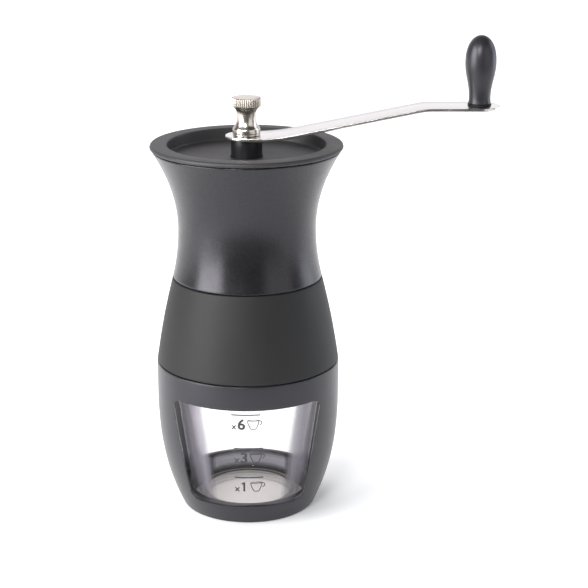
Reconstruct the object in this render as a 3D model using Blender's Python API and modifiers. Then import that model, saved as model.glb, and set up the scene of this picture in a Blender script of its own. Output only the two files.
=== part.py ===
"""Hand crank coffee grinder with an hourglass casing, a clear jar and a conical burr set.

The grinder's axis is Z, the table is at Z = 0 and the crank arm points along +X.
Run with: blender --background --python part.py
"""

import math

import bmesh
import bpy
from mathutils import Matrix, Vector

MM = 0.001
FIT = 0.3 * MM  # gap between pieces that touch
ROUND = 32  # facets of the casing's turned pieces
SMALL_ROUND = 16  # facets of the small turned pieces

# Casing outline
FRAME_TOP = 72.7 * MM
FOOT_R = 32.0 * MM
BELLY_R = 43.55 * MM
BELLY_Z = 62.0 * MM
BELLY_POWER = 2.65
FRAME_WALL = 2.4 * MM
GRIP_LENGTH = 40.5 * MM
GRIP_BULGE = 0.6 * MM
GRIP_THICK = 1.7 * MM
NECK_R = 35.25 * MM  # casing radius just above the grip
WAIST_R = 32.4 * MM
WAIST_RISE = 23.2 * MM  # from the grip's seam up to the waist
MOUTH_R = 44.2 * MM
MOUTH_RISE = 37.6 * MM  # from the waist up to the mouth
SHELL_WALL = 2.4 * MM

# Windows of the base frame
SILL_Z = 10.0 * MM
LINTEL_Z = 61.1 * MM
SILL_HALF = 26.3 * MM
LINTEL_HALF = 34.9 * MM
SILL_CORNER = 5.0 * MM
LINTEL_CORNER = 3.5 * MM
RING_TOP = 8.6 * MM  # top of the thick ring at the base frame's foot

# Jar
JAR_FOOT_R = 26.6 * MM
JAR_TAPER = 0.139
JAR_WALL = 2.6 * MM
JAR_FLOOR = 4.5 * MM
JAR_PLAY = 0.5 * MM
JAR_FLANGE = 4.0 * MM
FLANGE_THICK = 2.5 * MM
JAR_NECK_R = 36.5 * MM
JAR_NECK_WALL = 2.9 * MM
JAR_NECK_LENGTH = 12.7 * MM
SEAL_THICK = 1.5 * MM

# Grinding gear
WEB_RISE = 10.2 * MM  # the casing's web above the grip's seam
WEB_THICK = 2.5 * MM
THROAT_R = 17.5 * MM
MOUTH_OF_THROAT_R = 20.5 * MM
HUB_R = 7.0 * MM
RIB_WIDTH = 4.0 * MM
BUSH_R = 5.0 * MM
BUSH_FLANGE = 1.6 * MM
SHAFT_R = 3.0 * MM
THREAD_R = 2.5 * MM
BURR_R = 21.5 * MM
BURR_HEIGHT = 15.8 * MM
BURR_BORE_R = BURR_R - 2.7 * MM
CARRIER_WALL = 2.2 * MM
CARRIER_FLANGE = 4.0 * MM
CARRIER_HEIGHT = 26.1 * MM
CLAMP_THICK = 2.3 * MM
SCREW_R = 1.2 * MM
SCREW_HEAD_R = 2.2 * MM
SCREW_HEAD = 1.5 * MM
SPRING_R = 4.6 * MM
WIRE_R = 0.5 * MM
SPRING_TURNS = 4
WHEEL_R = 13.2 * MM
WHEEL_THICK = 5.5 * MM
NUT_ACROSS = 8.0 * MM
NUT_THICK = 4.0 * MM

# Hopper
HOPPER_WALL = 1.6 * MM
HOPPER_PLAY = 0.4 * MM
BRIDGE_RISE = 16.0 * MM  # underside of the hopper's bridge above the web
BRIDGE_THICK = 7.0 * MM

# Lid
LID_R = 45.0 * MM
LID_RIM = 2.2 * MM
LID_RIM_INNER_R = 36.9 * MM
LID_DEPTH = 6.0 * MM
LID_FLOOR = 2.0 * MM
LID_WALL = 1.7 * MM
COLLAR_R = 7.3 * MM
COLLAR_RISE = 2.0 * MM  # collar's top above the lid's rim
COLLAR_LENGTH = 11.2 * MM

# Crank
ARM_THICK = 1.5 * MM
ARM_WIDTH = 19.6 * MM
ARM_REACH = 107.1 * MM
ARM_RISE = 14.0 * MM
FIRST_BEND = 13.0 * MM
SECOND_BEND = 82.0 * MM
FIRST_BEND_SPREAD = 7.5 * MM
SECOND_BEND_SPREAD = 3.5 * MM
SQUARE = 5.0 * MM
CRANK_NUT_R = 6.8 * MM
CRANK_NUT_HEIGHT = 16.3 * MM
WASHER_THICK = 0.7 * MM
SHAFT_END_DEPTH = 8.6 * MM  # shaft's top end below the crank nut's top

# Knob
KNOB_HEIGHT = 31.2 * MM
KNOB_R = 7.1 * MM
KNOB_WAIST_R = 4.95 * MM
PIN_R = 2.2 * MM
PIN_HEAD_R = 4.5 * MM
PIN_HEAD = 1.5 * MM

# Levels worked out from the sizes above
SEAM_Z = FRAME_TOP + FIT + GRIP_LENGTH + FIT
WAIST_Z = SEAM_Z + WAIST_RISE
MOUTH_Z = WAIST_Z + MOUTH_RISE
JAR_TOP = FRAME_TOP + 6.8 * MM
FLANGE_TOP = JAR_TOP - JAR_NECK_LENGTH
FLANGE_BOTTOM = FLANGE_TOP - FLANGE_THICK
LEDGE_TOP = FLANGE_BOTTOM - FIT
LEDGE_BOTTOM = LINTEL_Z + 0.9 * MM
SEAL_BOTTOM = JAR_TOP + FIT
WEB_BOTTOM = SEAM_Z + WEB_RISE
WEB_TOP = WEB_BOTTOM + WEB_THICK
CARRIER_TOP = WEB_BOTTOM - FIT
CARRIER_BOTTOM = CARRIER_TOP - CARRIER_HEIGHT
BURR_TOP = CARRIER_BOTTOM + BURR_HEIGHT
CLAMP_TOP = CARRIER_BOTTOM - FIT
BRIDGE_BOTTOM = WEB_TOP + BRIDGE_RISE
BRIDGE_TOP = BRIDGE_BOTTOM + BRIDGE_THICK
LID_BOTTOM_RIM = MOUTH_Z + FIT
LID_TOP = LID_BOTTOM_RIM + LID_RIM
LID_FLOOR_TOP = LID_TOP - LID_DEPTH
LID_FLOOR_BOTTOM = LID_FLOOR_TOP - LID_FLOOR
COLLAR_TOP = LID_TOP + COLLAR_RISE
ARM_BOTTOM = COLLAR_TOP + FIT
ARM_TOP = ARM_BOTTOM + ARM_THICK
ARM_HIGH = ARM_TOP + ARM_RISE
NUT_WASHER_TOP = ARM_TOP + FIT + WASHER_THICK
CRANK_NUT_BOTTOM = NUT_WASHER_TOP + FIT
CRANK_NUT_TOP = CRANK_NUT_BOTTOM + CRANK_NUT_HEIGHT
SHAFT_TOP = CRANK_NUT_TOP - SHAFT_END_DEPTH
KNOB_BOTTOM = ARM_HIGH + FIT + WASHER_THICK
KNOB_TOP = KNOB_BOTTOM + KNOB_HEIGHT
HUNG_BUSH_BOTTOM = CARRIER_TOP - CARRIER_FLANGE - 2.2 * MM
INNER_BURR_TOP = BURR_TOP + 0.6 * MM
INNER_BURR_BOTTOM = CARRIER_BOTTOM - 0.7 * MM
DRIVER_TOP = INNER_BURR_BOTTOM - FIT
WHEEL_TOP = DRIVER_TOP - 4.1 * MM
NUT_BOTTOM = WHEEL_TOP - WHEEL_THICK - 0.5 * MM
SHAFT_BOTTOM = NUT_BOTTOM - 2.2 * MM
CARRIER_OUTER_R = BURR_R + FIT + CARRIER_WALL
CARRIER_SCREW_RING = CARRIER_OUTER_R + SCREW_HEAD_R + 0.5 * MM
CLAMP_SCREW_RING = BURR_R + 3.4 * MM

BLACK = ((0.012, 0.012, 0.014), 0.34, 0.0)
SOFT_BLACK = ((0.05, 0.05, 0.055), 0.75, 0.0)
CLEAR = ((0.86, 0.86, 0.84), 0.08, 0.0)
STEEL = ((0.72, 0.72, 0.71), 0.24, 1.0)
NICKEL = ((0.66, 0.63, 0.58), 0.28, 1.0)
CERAMIC = ((0.86, 0.85, 0.81), 0.45, 0.0)
BRASS = ((0.72, 0.52, 0.22), 0.35, 1.0)
NYLON = ((0.62, 0.62, 0.6), 0.5, 0.0)


def clear_scene():
    for obj in list(bpy.data.objects):
        bpy.data.objects.remove(obj)


def new_collection(name):
    collection = bpy.data.collections.new(name)
    bpy.context.scene.collection.children.link(collection)
    return collection


def new_material(name, look):
    colour, roughness, metallic = look
    material = bpy.data.materials.new(name)
    material.use_nodes = True
    shader = material.node_tree.nodes["Principled BSDF"]
    shader.inputs["Base Color"].default_value = (*colour, 1.0)
    shader.inputs["Roughness"].default_value = roughness
    shader.inputs["Metallic"].default_value = metallic
    return material


def add_piece(name, mesh, look, place=(0, 0, 0)):
    """Link a mesh as a sub-part with a material of its own."""
    obj = bpy.data.objects.new(name, mesh)
    obj.location = place
    mesh.materials.clear()
    mesh.materials.append(new_material(name, look))
    parts.objects.link(obj)
    return obj


def add_cutter(name, mesh, place=(0, 0, 0), turn=0.0):
    """Link a mesh as a hidden tool for a Boolean."""
    obj = bpy.data.objects.new(name, mesh)
    obj.location = place
    obj.rotation_euler.z = turn
    obj.hide_render = True
    obj.display_type = "WIRE"
    tools.objects.link(obj)
    return obj


def combine(obj, tool, operation):
    modifier = obj.modifiers.new(tool.name, "BOOLEAN")
    modifier.operation = operation
    modifier.object = tool


def cut(obj, tool):
    combine(obj, tool, "DIFFERENCE")


def join(obj, tool):
    combine(obj, tool, "UNION")


def corner_arc(before, corner, after, radius, steps):
    """Points of an arc that rounds one corner of an outline."""
    to_before = before - corner
    to_after = after - corner
    half = to_before.angle(to_after) / 2
    room = 0.48 * min(to_before.length, to_after.length)
    reach = min(radius / math.tan(half), room)
    radius = reach * math.tan(half)
    towards = (to_before.normalized() + to_after.normalized()).normalized()
    centre = corner + towards * radius / math.sin(half)
    start = (corner + to_before.normalized() * reach - centre).normalized()
    end = (corner + to_after.normalized() * reach - centre).normalized()
    return [centre + start.slerp(end, step / steps).normalized() * radius for step in range(steps + 1)]


def rounded(outline, closed=True, steps=1):
    """Outline points in 3D; a point with a third value gets an arc of that radius."""
    corners = [Vector((point[0], 0, point[1])) for point in outline]
    result = []
    for index, point in enumerate(outline):
        inside = closed or 0 < index < len(outline) - 1
        if len(point) == 3 and inside:
            before = corners[index - 1]
            after = corners[(index + 1) % len(corners)]
            result += corner_arc(before, corners[index], after, point[2], steps)
        else:
            result.append(corners[index])
    return result


def profile_mesh(name, points, closed):
    mesh = bpy.data.meshes.new(name)
    edges = [(index, index + 1) for index in range(len(points) - 1)]
    if closed:
        edges.append((len(points) - 1, 0))
    mesh.from_pydata(points, edges, [])
    return mesh


def add_screw(obj, facets):
    screw = obj.modifiers.new("turn", "SCREW")
    screw.steps = facets
    screw.render_steps = facets
    screw.use_merge_vertices = True
    screw.merge_threshold = 0.00001
    screw.use_smooth_shade = True


def turned(name, outline, look, facets=SMALL_ROUND, closed=True, place=(0, 0, 0)):
    """A turned piece; the outline runs down its outer side and up its bore."""
    points = rounded(outline, closed)
    obj = add_piece(name, profile_mesh(name, points, closed), look, place)
    add_screw(obj, facets)
    return obj


def cylinder_mesh(name, radius, low, high, facets=16):
    mesh = bpy.data.meshes.new(name)
    model = bmesh.new()
    depth = high - low
    lift = Matrix.Translation((0, 0, (low + high) / 2))
    bmesh.ops.create_cone(
        model, cap_ends=True, segments=facets, radius1=radius, radius2=radius, depth=depth, matrix=lift
    )
    model.to_mesh(mesh)
    model.free()
    return mesh


def box_mesh(name, low, high):
    mesh = bpy.data.meshes.new(name)
    model = bmesh.new()
    size = Vector(high) - Vector(low)
    centre = (Vector(high) + Vector(low)) / 2
    placed = Matrix.Translation(centre) @ Matrix.Diagonal((*size, 1))
    bmesh.ops.create_cube(model, size=1, matrix=placed)
    model.to_mesh(mesh)
    model.free()
    return mesh


def slab_mesh(name, outline, low, high):
    """A flat outline in X and Y, as a filled 2D curve with thickness, made a mesh."""
    curve = bpy.data.curves.new(name, "CURVE")
    curve.dimensions = "2D"
    curve.fill_mode = "BOTH"
    curve.extrude = (high - low) / 2
    spline = curve.splines.new("POLY")
    spline.points.add(len(outline) - 1)
    for point, (x, y) in zip(spline.points, outline):
        point.co = (x, y, 0, 1)
    spline.use_cyclic_u = True
    guide = bpy.data.objects.new(name, curve)
    tools.objects.link(guide)
    bpy.context.view_layer.update()
    evaluated = guide.evaluated_get(bpy.context.evaluated_depsgraph_get())
    mesh = bpy.data.meshes.new_from_object(evaluated)
    bpy.data.objects.remove(guide)
    model = bmesh.new()
    model.from_mesh(mesh)
    bmesh.ops.remove_doubles(model, verts=model.verts, dist=0.00001)
    bmesh.ops.translate(model, verts=model.verts, vec=(0, 0, (low + high) / 2))
    model.to_mesh(mesh)
    model.free()
    return mesh


def frame_radius(z):
    """Outer radius of the base frame's belly."""
    return BELLY_R - (BELLY_R - FOOT_R) * abs(1 - z / BELLY_Z) ** BELLY_POWER


def grip_radius(z):
    """Outer radius of the grip: a cone with a slight bulge."""
    share = (z - FRAME_TOP) / (SEAM_Z - FRAME_TOP)
    low = frame_radius(FRAME_TOP)
    return low + (NECK_R - low) * share + GRIP_BULGE * math.sin(math.pi * share)


def waist_radius(z):
    """Outer radius of the upper casing, smallest at the waist."""
    if z > WAIST_Z:
        return WAIST_R + (MOUTH_R - WAIST_R) * ((z - WAIST_Z) / MOUTH_RISE) ** 2
    return WAIST_R + (NECK_R - WAIST_R) * ((WAIST_Z - z) / WAIST_RISE) ** 2


def under_grip_radius(z):
    return grip_radius(z) - GRIP_THICK - FIT


def jar_radius(z):
    return JAR_FOOT_R + JAR_TAPER * z


def bore_radius(z):
    """Bore of the outer burr: a fine cone below, a steeper one above."""
    fine_top = CARRIER_BOTTOM + 5 * MM
    if z < fine_top:
        return BURR_BORE_R - 0.32 * (z - CARRIER_BOTTOM)
    return bore_radius(fine_top - 0.001 * MM) - 0.15 * (z - fine_top)


def levels(low, high, count):
    """Evenly spaced heights from high down to low."""
    return [high + (low - high) * index / (count - 1) for index in range(count)]


def make_base_frame():
    top = FRAME_TOP
    wall = [(frame_radius(z), z) for z in levels(14 * MM, top - 9 * MM, 6)]
    outer = [(frame_radius(top), top, 0.5 * MM), *wall]
    outer += [(frame_radius(8 * MM), 8 * MM), (frame_radius(3.5 * MM), 3.5 * MM), (frame_radius(0), 0, 0.8 * MM)]
    seat = jar_radius(0) + JAR_PLAY
    inner = [(seat, 0, 0.4 * MM), (seat + JAR_TAPER * RING_TOP, RING_TOP)]
    inner += [(frame_radius(RING_TOP) - FRAME_WALL, RING_TOP)]
    inner += [(frame_radius(z) - FRAME_WALL, z) for z in reversed(levels(16 * MM, LEDGE_BOTTOM, 5))]
    ledge = jar_radius(LEDGE_TOP) + JAR_PLAY
    inner += [(ledge, LEDGE_BOTTOM), (ledge, LEDGE_TOP), (frame_radius(LEDGE_TOP) - FRAME_WALL, LEDGE_TOP)]
    inner += [(frame_radius(top) - FRAME_WALL, top)]
    frame = turned("base_frame", outer + inner, BLACK, ROUND)
    corners = [(-SILL_HALF, SILL_Z, SILL_CORNER), (SILL_HALF, SILL_Z, SILL_CORNER)]
    corners += [(LINTEL_HALF, LINTEL_Z, LINTEL_CORNER), (-LINTEL_HALF, LINTEL_Z, LINTEL_CORNER)]
    outline = [(point.x, point.z) for point in rounded(corners, steps=4)]
    opening = add_cutter("window_tool", slab_mesh("window_tool", outline, -2 * BELLY_R, 2 * BELLY_R))
    opening.rotation_euler.x = math.pi / 2
    cut(frame, opening)


def make_jar():
    inner_floor = jar_radius(JAR_FLOOR) - JAR_WALL
    neck_bore = JAR_NECK_R - JAR_NECK_WALL
    groove = inner_floor - 3.9 * MM
    inner = [(0, JAR_FLOOR), (groove, JAR_FLOOR), (groove + 0.4 * MM, JAR_FLOOR - 0.8 * MM)]
    inner += [(groove + 1.0 * MM, JAR_FLOOR - 0.8 * MM), (groove + 1.4 * MM, JAR_FLOOR)]
    inner += [(inner_floor, JAR_FLOOR, 1.5 * MM), (jar_radius(FLANGE_TOP) - JAR_WALL, FLANGE_TOP)]
    inner += [(neck_bore, FLANGE_TOP + 2 * MM), (neck_bore, JAR_TOP, 0.8 * MM)]
    flange_r = jar_radius(FLANGE_BOTTOM) + JAR_FLANGE
    outer = [(JAR_NECK_R, JAR_TOP, 0.8 * MM), (JAR_NECK_R, FLANGE_TOP), (flange_r, FLANGE_TOP, 0.5 * MM)]
    outer += [(flange_r, FLANGE_BOTTOM, 0.5 * MM), (jar_radius(FLANGE_BOTTOM), FLANGE_BOTTOM)]
    outer += [(JAR_FOOT_R, 0, 0.8 * MM), (0, 0)]
    turned("jar", inner + outer, CLEAR, ROUND, closed=False)


def make_upper_shell():
    bottom = FRAME_TOP + FIT + 0.2 * MM
    step = SEAM_Z - FIT
    shoulder_bottom = SEAL_BOTTOM + SEAL_THICK + FIT
    shoulder_top = shoulder_bottom + 2.5 * MM
    thread_r = JAR_NECK_R + JAR_PLAY
    outer = [(waist_radius(MOUTH_Z), MOUTH_Z, 0.6 * MM)]
    outer += [(waist_radius(z), z) for z in levels(SEAM_Z + 5 * MM, MOUTH_Z - 5 * MM, 9)]
    outer += [(NECK_R, SEAM_Z, 0.4 * MM), (under_grip_radius(step), SEAM_Z)]
    outer += [(under_grip_radius(z), z) for z in levels(bottom, step - 8 * MM, 4)]
    inner = [(thread_r, bottom), (thread_r, shoulder_bottom)]
    inner += [(JAR_NECK_R - JAR_NECK_WALL + 0.4 * MM, shoulder_bottom)]
    inner += [(JAR_NECK_R - JAR_NECK_WALL + 0.4 * MM, shoulder_top)]
    inner += [(under_grip_radius(z) - SHELL_WALL, z) for z in (shoulder_top + 1 * MM, step - 14 * MM, step)]
    inner += [(waist_radius(WEB_BOTTOM) - SHELL_WALL, WEB_BOTTOM), (MOUTH_OF_THROAT_R + FIT, WEB_BOTTOM)]
    inner += [(MOUTH_OF_THROAT_R + FIT, WEB_TOP), (waist_radius(WEB_TOP) - SHELL_WALL, WEB_TOP)]
    inner += [(waist_radius(z) - SHELL_WALL, z) for z in reversed(levels(WAIST_Z - 5 * MM, MOUTH_Z - 6 * MM, 6))]
    inner += [(waist_radius(MOUTH_Z) - SHELL_WALL, MOUTH_Z, 0.5 * MM)]
    shell = turned("upper_shell", outer + inner, BLACK, ROUND)
    drill_carrier_holes(shell, "web_hole", WEB_BOTTOM - MM, WEB_TOP + MM)


def drill_carrier_holes(obj, name, low, high):
    """Three screw holes on the carrier screws' ring."""
    for index, (x, y) in enumerate(ring_places(CARRIER_SCREW_RING, 0)):
        hole = cylinder_mesh(name, SCREW_R + FIT, low, high, 12)
        cut(obj, add_cutter(f"{name}_{index + 1}", hole, (x, y, 0)))


def ring_places(radius, start_degrees):
    """Three places evenly spaced on a ring."""
    turns = [math.radians(start_degrees + 120 * index) for index in range(3)]
    return [(radius * math.cos(turn), radius * math.sin(turn)) for turn in turns]


def make_grip_sleeve():
    low = FRAME_TOP + FIT
    high = SEAM_Z - FIT
    outer = [(grip_radius(high), high, 0.6 * MM)]
    outer += [(grip_radius(z), z) for z in levels(low + 6 * MM, high - 6 * MM, 5)]
    outer += [(grip_radius(low), low, 0.6 * MM)]
    inner = [(grip_radius(z) - GRIP_THICK, z) for z in reversed(levels(low, high, 5))]
    turned("grip_sleeve", outer + inner, SOFT_BLACK, ROUND)


def make_seal_ring():
    top = SEAL_BOTTOM + SEAL_THICK
    bore = JAR_NECK_R - JAR_NECK_WALL
    rim = JAR_NECK_R
    outline = [(rim, top), (rim, SEAL_BOTTOM), (bore, SEAL_BOTTOM), (bore, top)]
    turned("seal_ring", outline, SOFT_BLACK, ROUND)


def lining_radius(z):
    return waist_radius(z) - SHELL_WALL - HOPPER_PLAY


def add_bridge(obj, name, low, high, reach, bush_r):
    """A hub carried by three ribs inside a turned piece, bored for a bush."""
    join(obj, add_cutter(f"{name}_hub", cylinder_mesh(f"{name}_hub", HUB_R, low, high, 24)))
    for index in range(3):
        rib = box_mesh(f"{name}_rib", (0, -RIB_WIDTH / 2, low + 0.5 * MM), (reach, RIB_WIDTH / 2, high - 0.5 * MM))
        turn = math.radians(90 + 120 * index)
        join(obj, add_cutter(f"{name}_rib_{index + 1}", rib, turn=turn))
    bore = cylinder_mesh(f"{name}_bore", bush_r, low - MM, high + MM, 24)
    cut(obj, add_cutter(f"{name}_bore", bore))


def make_hopper():
    low = WEB_TOP + FIT
    high = LID_FLOOR_BOTTOM - 0.7 * MM
    funnel_top = WAIST_Z + 2 * MM
    outer = [(lining_radius(high), high, 0.5 * MM)]
    outer += [(lining_radius(z), z) for z in levels(low, high - 6 * MM, 7)]
    inner = [(MOUTH_OF_THROAT_R, low), (MOUTH_OF_THROAT_R, low + 1.2 * MM)]
    inner += [(lining_radius(z) - HOPPER_WALL, z) for z in reversed(levels(funnel_top, high, 6))]
    hopper = turned("hopper", outer + inner, BLACK, ROUND)
    reach = lining_radius(WAIST_Z) - HOPPER_WALL / 2
    add_bridge(hopper, "hopper_bridge", BRIDGE_BOTTOM, BRIDGE_TOP, reach, BUSH_R + FIT)
    drill_carrier_holes(hopper, "hopper_hole", low - MM, low + 6 * MM)


def make_bush(name, body_low, body_high, flange_low, flange_high):
    """A flanged plain bearing for the shaft."""
    bore = SHAFT_R + FIT
    rim = BUSH_R + BUSH_FLANGE
    if flange_low >= body_high:
        outline = [(rim, flange_high, 0.2 * MM), (rim, body_high), (BUSH_R, body_high), (BUSH_R, body_low)]
        outline += [(bore, body_low), (bore, flange_high)]
    else:
        outline = [(BUSH_R, body_high), (BUSH_R, body_low), (rim, body_low), (rim, flange_low, 0.2 * MM)]
        outline += [(bore, flange_low), (bore, body_high)]
    turned(name, outline, NYLON)


def make_bushes():
    make_bush("upper_bush", BRIDGE_BOTTOM, BRIDGE_TOP + FIT, BRIDGE_TOP + FIT, BRIDGE_TOP + 1.1 * MM)
    make_bush("lower_bush", HUNG_BUSH_BOTTOM - FIT, CARRIER_TOP, HUNG_BUSH_BOTTOM - 1.1 * MM, HUNG_BUSH_BOTTOM - FIT)


def make_burr_carrier():
    flange_r = waist_radius(WEB_BOTTOM) - SHELL_WALL - 2 * FIT
    flange_bottom = CARRIER_TOP - CARRIER_FLANGE
    seat = BURR_R + FIT
    outline = [(flange_r, CARRIER_TOP, 0.4 * MM), (flange_r, flange_bottom), (CARRIER_OUTER_R, flange_bottom)]
    outline += [(CARRIER_OUTER_R, CARRIER_BOTTOM), (seat, CARRIER_BOTTOM), (seat, BURR_TOP + FIT)]
    outline += [(THROAT_R, BURR_TOP + FIT), (THROAT_R, CARRIER_TOP - 3 * MM), (MOUTH_OF_THROAT_R, CARRIER_TOP)]
    carrier = turned("burr_carrier", outline, BLACK, ROUND)
    for index, (x, y) in enumerate(ring_places(CLAMP_SCREW_RING, 60)):
        boss = cylinder_mesh("boss", 2.6 * MM, CARRIER_BOTTOM, flange_bottom + MM, 16)
        join(carrier, add_cutter(f"boss_{index + 1}", boss, (x, y, 0)))
        hole = cylinder_mesh("boss_hole", SCREW_R + FIT, CARRIER_BOTTOM - MM, CARRIER_BOTTOM + 9 * MM, 12)
        cut(carrier, add_cutter(f"boss_hole_{index + 1}", hole, (x, y, 0)))
    drill_carrier_holes(carrier, "carrier_hole", flange_bottom - MM, CARRIER_TOP + MM)
    add_bridge(carrier, "carrier_bridge", HUNG_BUSH_BOTTOM, CARRIER_TOP, THROAT_R + 1.5 * MM, BUSH_R + FIT)


def make_screw(name, x, y, head_low, length):
    """A pan head screw pointing up, with a cross recess in its head."""
    head_high = head_low + SCREW_HEAD
    outline = [(0, head_high + length), (SCREW_R - 0.4 * MM, head_high + length), (SCREW_R, head_high + length - MM)]
    outline += [(SCREW_R, head_high), (SCREW_HEAD_R, head_high), (SCREW_HEAD_R, head_low, 0.7 * MM), (0, head_low)]
    screw = turned(name, outline, STEEL, 10, closed=False, place=(x, y, 0))
    for index in range(2):
        low = (-1.2 * MM, -0.25 * MM, head_low - MM)
        slot = box_mesh(f"{name}_slot", low, (1.2 * MM, 0.25 * MM, head_low + 0.8 * MM))
        cut(screw, add_cutter(f"{name}_slot_{index + 1}", slot, (x, y, 0), math.pi / 2 * index))


def make_screws():
    for index, (x, y) in enumerate(ring_places(CARRIER_SCREW_RING, 0)):
        head_low = CARRIER_TOP - CARRIER_FLANGE - FIT - SCREW_HEAD
        make_screw(f"carrier_screw_{index + 1}", x, y, head_low, CARRIER_FLANGE + WEB_THICK + 5.5 * MM)
    for index, (x, y) in enumerate(ring_places(CLAMP_SCREW_RING, 60)):
        head_low = CLAMP_TOP - CLAMP_THICK - FIT - SCREW_HEAD
        make_screw(f"clamp_screw_{index + 1}", x, y, head_low, CLAMP_THICK + 8 * MM)


def make_burr_clamp_ring():
    low = CLAMP_TOP - CLAMP_THICK
    rim = CLAMP_SCREW_RING + 3.1 * MM
    bore = BURR_BORE_R + 0.8 * MM
    outline = [(rim, CLAMP_TOP), (rim, low, 0.5 * MM), (bore, low, 0.5 * MM), (bore, CLAMP_TOP)]
    ring = turned("burr_clamp_ring", outline, BLACK, ROUND)
    for index, (x, y) in enumerate(ring_places(CLAMP_SCREW_RING, 60)):
        hole = cylinder_mesh("clamp_hole", SCREW_R + FIT, low - MM, CLAMP_TOP + MM, 12)
        cut(ring, add_cutter(f"clamp_hole_{index + 1}", hole, (x, y, 0)))


def make_outer_burr():
    low = CARRIER_BOTTOM
    chamfer = 1.2 * MM
    outline = [(BURR_R, BURR_TOP, 0.4 * MM), (BURR_R, low, 0.4 * MM), (bore_radius(low), low)]
    outline += [(bore_radius(low + 5 * MM), low + 5 * MM), (bore_radius(BURR_TOP - chamfer), BURR_TOP - chamfer)]
    outline += [(bore_radius(BURR_TOP - chamfer) + chamfer, BURR_TOP)]
    turned("outer_burr", outline, CERAMIC, ROUND)


def make_inner_burr():
    gap = 0.45 * MM
    fine_top = CARRIER_BOTTOM + 5 * MM
    spring_seat = INNER_BURR_TOP - 8 * MM
    driver_seat = INNER_BURR_BOTTOM + 2.6 * MM
    outline = [(8.4 * MM, INNER_BURR_TOP, 0.5 * MM), (bore_radius(fine_top) - gap, fine_top)]
    outline += [(bore_radius(CARRIER_BOTTOM) - gap, CARRIER_BOTTOM)]
    outline += [(bore_radius(CARRIER_BOTTOM) - 1.4 * MM, INNER_BURR_BOTTOM)]
    outline += [(5.7 * MM, INNER_BURR_BOTTOM), (5.7 * MM, driver_seat), (SHAFT_R + FIT, driver_seat)]
    outline += [(SHAFT_R + FIT, spring_seat), (SPRING_R + 1.6 * MM, spring_seat)]
    outline += [(SPRING_R + 1.6 * MM, INNER_BURR_TOP)]
    burr = turned("inner_burr", outline, CERAMIC, ROUND)
    for index in range(6):
        low = (8.8 * MM, -1.1 * MM, fine_top + 1.5 * MM)
        flute = box_mesh("flute", low, (BURR_BORE_R + 4 * MM, 1.1 * MM, INNER_BURR_TOP + 2 * MM))
        tool = add_cutter(f"flute_{index + 1}", flute, turn=math.radians(60 * index))
        tool.rotation_euler.x = math.radians(18)
        tool.rotation_euler.y = math.radians(-6)
        cut(burr, tool)


def make_burr_driver():
    low = WHEEL_TOP + FIT
    plate_top = DRIVER_TOP
    hub_top = INNER_BURR_BOTTOM + 2.3 * MM
    bore = SHAFT_R + FIT
    outline = [(5.3 * MM, hub_top, 0.3 * MM), (5.3 * MM, plate_top), (12 * MM, plate_top, 0.5 * MM)]
    outline += [(12 * MM, low + 1.5 * MM), (9 * MM, low), (bore, low), (bore, hub_top)]
    turned("burr_driver", outline, NYLON)


def lobed_outline(radius, lobes, depth, count):
    """A round outline with evenly spaced lobes."""
    points = []
    for index in range(count):
        turn = math.tau * index / count
        reach = radius + depth * math.cos(lobes * turn)
        points.append((reach * math.cos(turn), reach * math.sin(turn)))
    return points


def make_adjuster():
    low = WHEEL_TOP - WHEEL_THICK
    pocket_r = (NUT_ACROSS / 2 + FIT) / math.cos(math.pi / 6)
    outline = lobed_outline(WHEEL_R, 8, 0.9 * MM, 64)
    wheel = add_piece("adjuster_wheel", slab_mesh("adjuster_wheel", outline, low, WHEEL_TOP), BLACK)
    bore = cylinder_mesh("wheel_bore", THREAD_R + FIT, low - MM, WHEEL_TOP + MM, SMALL_ROUND)
    cut(wheel, add_cutter("wheel_bore", bore))
    pocket = cylinder_mesh("nut_pocket", pocket_r, low - MM, NUT_BOTTOM + NUT_THICK + FIT, 6)
    cut(wheel, add_cutter("nut_pocket", pocket))
    nut_r = NUT_ACROSS / 2 / math.cos(math.pi / 6)
    nut = add_piece("adjuster_nut", cylinder_mesh("adjuster_nut", nut_r, NUT_BOTTOM, NUT_BOTTOM + NUT_THICK, 6), BRASS)
    thread = cylinder_mesh("nut_thread", THREAD_R + FIT, NUT_BOTTOM - MM, NUT_BOTTOM + NUT_THICK + MM, SMALL_ROUND)
    cut(nut, add_cutter("nut_thread", thread))


def make_drive_shaft():
    square_low = COLLAR_TOP - 3 * MM
    thread_top = INNER_BURR_BOTTOM + 1 * MM
    tip = 0.5 * MM
    clip_low = CARRIER_TOP + 1.0 * MM
    clip_high = clip_low + 0.9 * MM
    groove = SHAFT_R - 0.7 * MM
    outline = [(0, SHAFT_TOP), (THREAD_R - tip, SHAFT_TOP), (THREAD_R, SHAFT_TOP - tip), (THREAD_R, ARM_TOP + FIT)]
    outline += [(SHAFT_R, ARM_TOP + FIT), (SHAFT_R, clip_high), (groove, clip_high), (groove, clip_low)]
    outline += [(SHAFT_R, clip_low), (SHAFT_R, thread_top), (THREAD_R, thread_top)]
    outline += [(THREAD_R, SHAFT_BOTTOM + tip), (THREAD_R - tip, SHAFT_BOTTOM), (0, SHAFT_BOTTOM)]
    shaft = turned("drive_shaft", outline, STEEL, SMALL_ROUND, closed=False)
    for index in range(4):
        low = (SQUARE / 2, -2 * SHAFT_R, square_low)
        flat = box_mesh("flat", low, (3 * SHAFT_R, 2 * SHAFT_R, ARM_TOP + 2 * FIT))
        cut(shaft, add_cutter(f"flat_{index + 1}", flat, turn=math.pi / 2 * index))


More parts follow.
